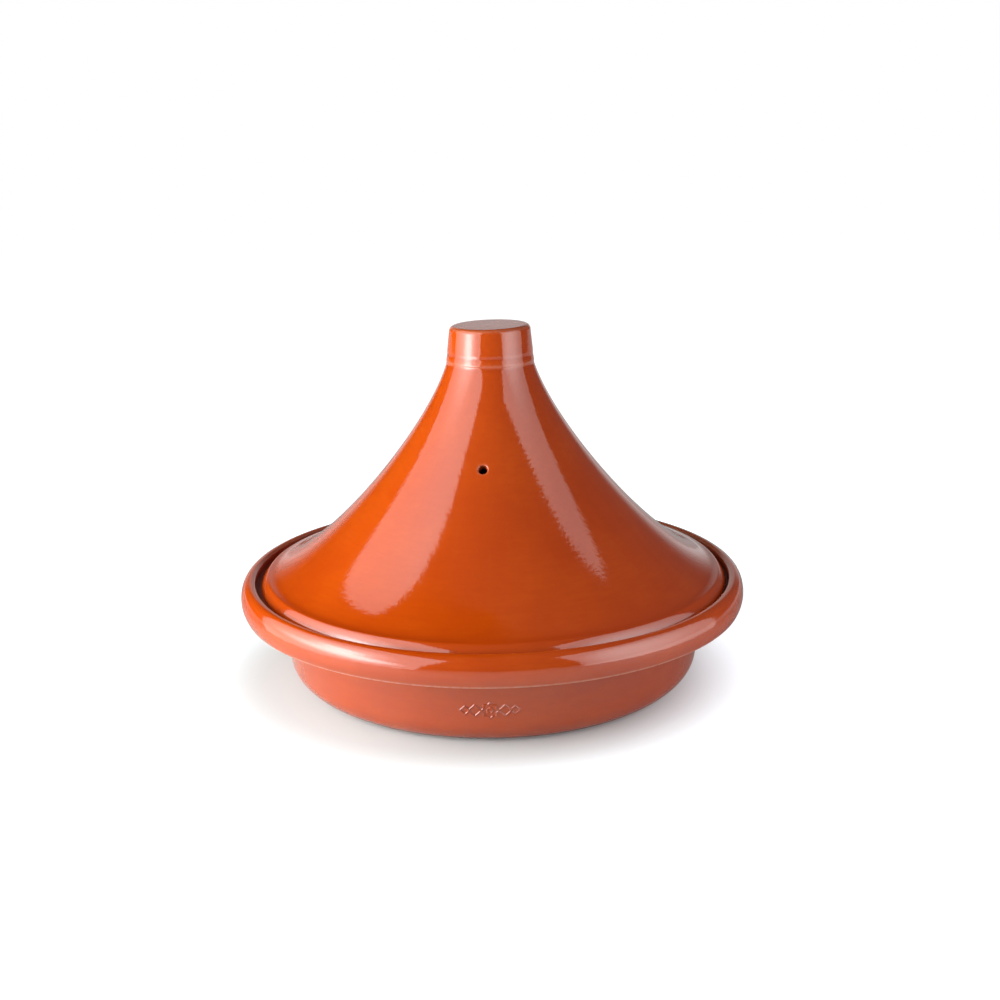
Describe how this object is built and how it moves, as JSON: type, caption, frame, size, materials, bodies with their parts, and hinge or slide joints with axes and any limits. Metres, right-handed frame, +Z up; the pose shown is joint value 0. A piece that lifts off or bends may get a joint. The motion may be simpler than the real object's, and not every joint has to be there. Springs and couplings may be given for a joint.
{
  "type": "tagine pot",
  "caption": "Glazed earthenware cooking pot: a shallow round dish with a heavy banded rim, and a tall concave conical lid with a flat-topped knob and a small steam vent.",
  "frame": {"origin": "centre of the dish's foot, on the surface the pot stands on", "axes": "+Z up along the turning axis of the dish and the lid; the steam vent faces -Y, 5 degrees towards -X"},
  "size_m": [0.32, 0.32, 0.2225],
  "materials": {
    "orange_glaze": "high gloss"
  },
  "bodies": {
    "dish": {"dish": "orange_glaze"},
    "lid": {"lid": "orange_glaze"}
  },
  "joints": [
    {"name": "lid_lift", "type": "slide", "parent": "dish", "child": "lid", "axis": [0, 0, 1], "range_m": [0, 0.15]}
  ]
}
